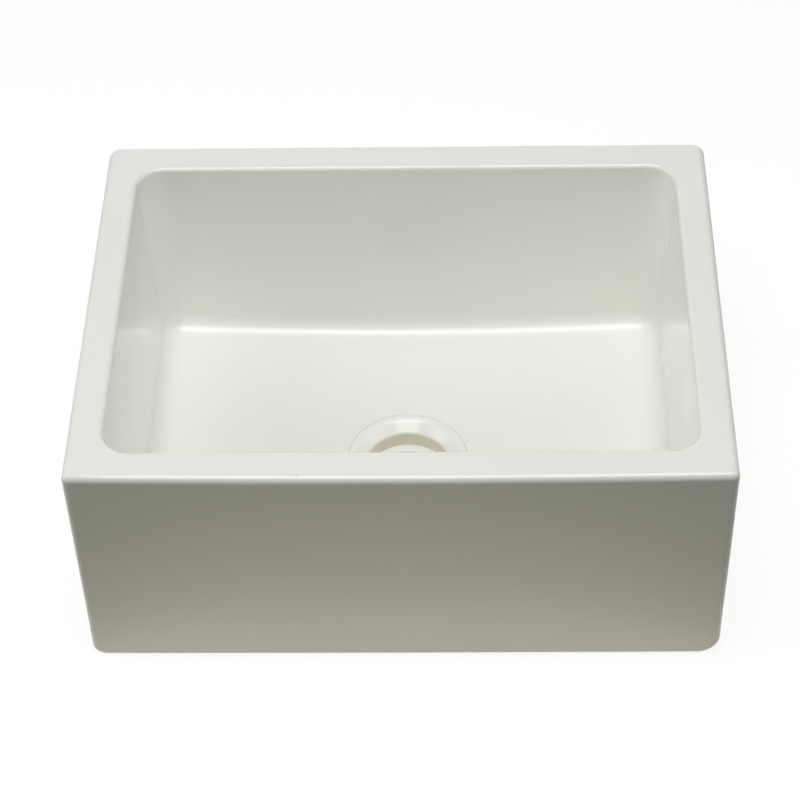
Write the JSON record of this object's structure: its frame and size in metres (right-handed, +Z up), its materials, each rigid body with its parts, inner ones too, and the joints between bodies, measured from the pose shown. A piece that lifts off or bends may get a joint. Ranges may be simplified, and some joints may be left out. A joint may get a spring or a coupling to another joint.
{
  "type": "farmhouse apron front sink",
  "caption": "Rectangular single bowl kitchen sink in glazed fireclay with a plain deep apron front, and a white basket strainer waste whose basket lifts out.",
  "frame": {"origin": "centre of the flat base, between the rim's sides and between its front ends and its back", "axes": "+X to the right of someone facing the apron, +Y towards the wall behind, +Z up"},
  "size_m": [0.6, 0.4628, 0.4029],
  "materials": {
    "fireclay": "glossy off-white glaze",
    "white_enamel": "glossy white enamel",
    "white_plastic": "glossy white",
    "nylon": "matte",
    "seal_grey": "matte",
    "rubber_black": "matte",
    "fibre": "matte fibre board",
    "brass": "cast, unplated",
    "chrome": "bright plate",
    "steel": "brushed"
  },
  "bodies": {
    "sink": {"sink_vessel": "fireclay", "strainer_body": "white_enamel", "flange_seal": "seal_grey", "rubber_washer": "rubber_black", "friction_ring": "fibre", "lock_nut": "brass", "tailpiece_washer": "nylon", "tailpiece": "chrome", "coupling_nut": "chrome"},
    "basket": {"basket_cup": "white_enamel", "stem_bush": "nylon"},
    "plunger": {"plunger_stem": "steel", "plunger_knob": "white_plastic", "stopper_plate": "steel", "stopper_seal": "rubber_black", "stopper_screw": "steel"}
  },
  "joints": [
    {"name": "basket_lift", "type": "slide", "parent": "sink", "child": "basket", "axis": [0, 0, 1], "range_m": [0, 0.3]},
    {"name": "plunger_slide", "type": "slide", "parent": "basket", "child": "plunger", "axis": [0, 0, 1], "range_m": [0, 0.006]}
  ]
}
